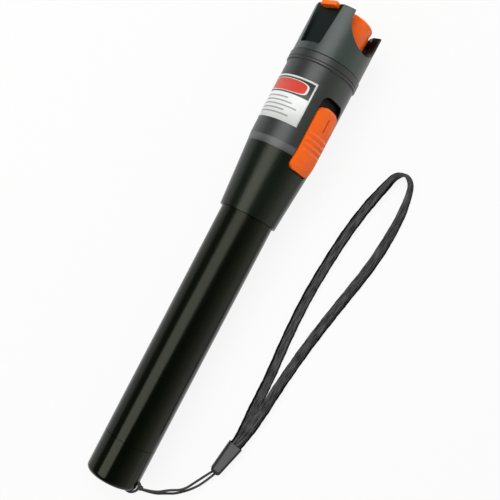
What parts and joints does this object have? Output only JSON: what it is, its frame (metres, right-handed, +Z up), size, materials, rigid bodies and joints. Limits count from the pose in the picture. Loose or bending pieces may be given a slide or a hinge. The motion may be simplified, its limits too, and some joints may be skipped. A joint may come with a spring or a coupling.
{
  "type": "visual fault locator",
  "caption": "Pen-shaped visible laser source for optical fibre, with a ferrule port under a hinged dust cap, a slide switch, a screw-off tail cap and a wrist strap.",
  "frame": {"origin": "centre of the box of the pen without its strap, on the floor it lies on", "axes": "+X along the pen from the tail cap to the head, +Z up, the strap towards -Y"},
  "size_m": [0.1833, 0.0644, 0.0269],
  "materials": {
    "body_plastic": "fine matte slate grey moulding",
    "black_anodised": "satin black anodised tube",
    "cone_black": "satin black",
    "orange": "satin orange moulding",
    "black_plastic": "glossy black",
    "carrier_plastic": "black moulding",
    "cell_sleeve": "plain shrink sleeve over steel",
    "brass": "turned",
    "steel": "plated",
    "board": "green solder mask",
    "ceramic": "polished zirconia",
    "glass": "clear",
    "rubber": "matte",
    "strap_cloth": "flat woven polyester",
    "ferrule_plastic": "grey moulding",
    "cord_cloth": "thin braided cord"
  },
  "bodies": {
    "barrel": {"battery_tube": "black_anodised", "battery_rear": "cell_sleeve", "battery_front": "cell_sleeve", "cone_sleeve": "cone_black", "barrel_housing": "body_plastic", "slot_plate": "black_plastic", "slide_switch": "steel", "carrier": "carrier_plastic", "front_contact": "brass", "driver_board": "board", "board_screws": "steel", "board_parts": "black_plastic", "collar_ring": "body_plastic", "head_shell": "body_plastic", "hinge_pin": "steel", "port_body": "steel", "ceramic_sleeve": "ceramic", "port_nut": "brass", "diode_holder": "brass", "laser_diode": "steel", "diode_leads": "brass", "collimator_lens": "glass"},
    "switch": {"switch_slider": "orange", "switch_lever": "black_plastic"},
    "flap": {"dust_cap": "orange", "cap_pad": "rubber"},
    "tail_contact": {"contact_plate": "brass", "contact_spring": "steel"},
    "tail": {"tail_cap": "black_anodised", "tail_seal": "rubber", "lanyard_loop": "cord_cloth", "lanyard_knot": "cord_cloth", "lanyard_cord_a": "cord_cloth", "lanyard_cord_b": "cord_cloth", "lanyard_ferrule": "ferrule_plastic", "lanyard_strap": "strap_cloth"}
  },
  "joints": [
    {"name": "switch_slide", "type": "slide", "parent": "barrel", "child": "switch", "axis": [0.9998, 0, 0.0222], "range_m": [0, 0.003]},
    {"name": "cap_hinge", "type": "hinge", "parent": "barrel", "child": "flap", "pos_m": [0.08942, -0.00778, 0.00569], "axis": [0.0154, 0.7193, -0.6945], "range_deg": [0, 160]},
    {"name": "tail_travel", "type": "slide", "parent": "barrel", "child": "tail_contact", "axis": [-0.9998, 0, -0.0222], "range_m": [0, 0.006]},
    {"name": "tail_turn", "type": "hinge", "parent": "tail_contact", "child": "tail", "pos_m": [-0.09061, 0, 0.00976], "axis": [-0.9998, 0, -0.0222], "range_deg": [0, 1440]}
  ],
  "couplings": [
    {"joint": "tail_travel", "follows": "tail_turn", "m_per_rad": 0.00023873}
  ]
}
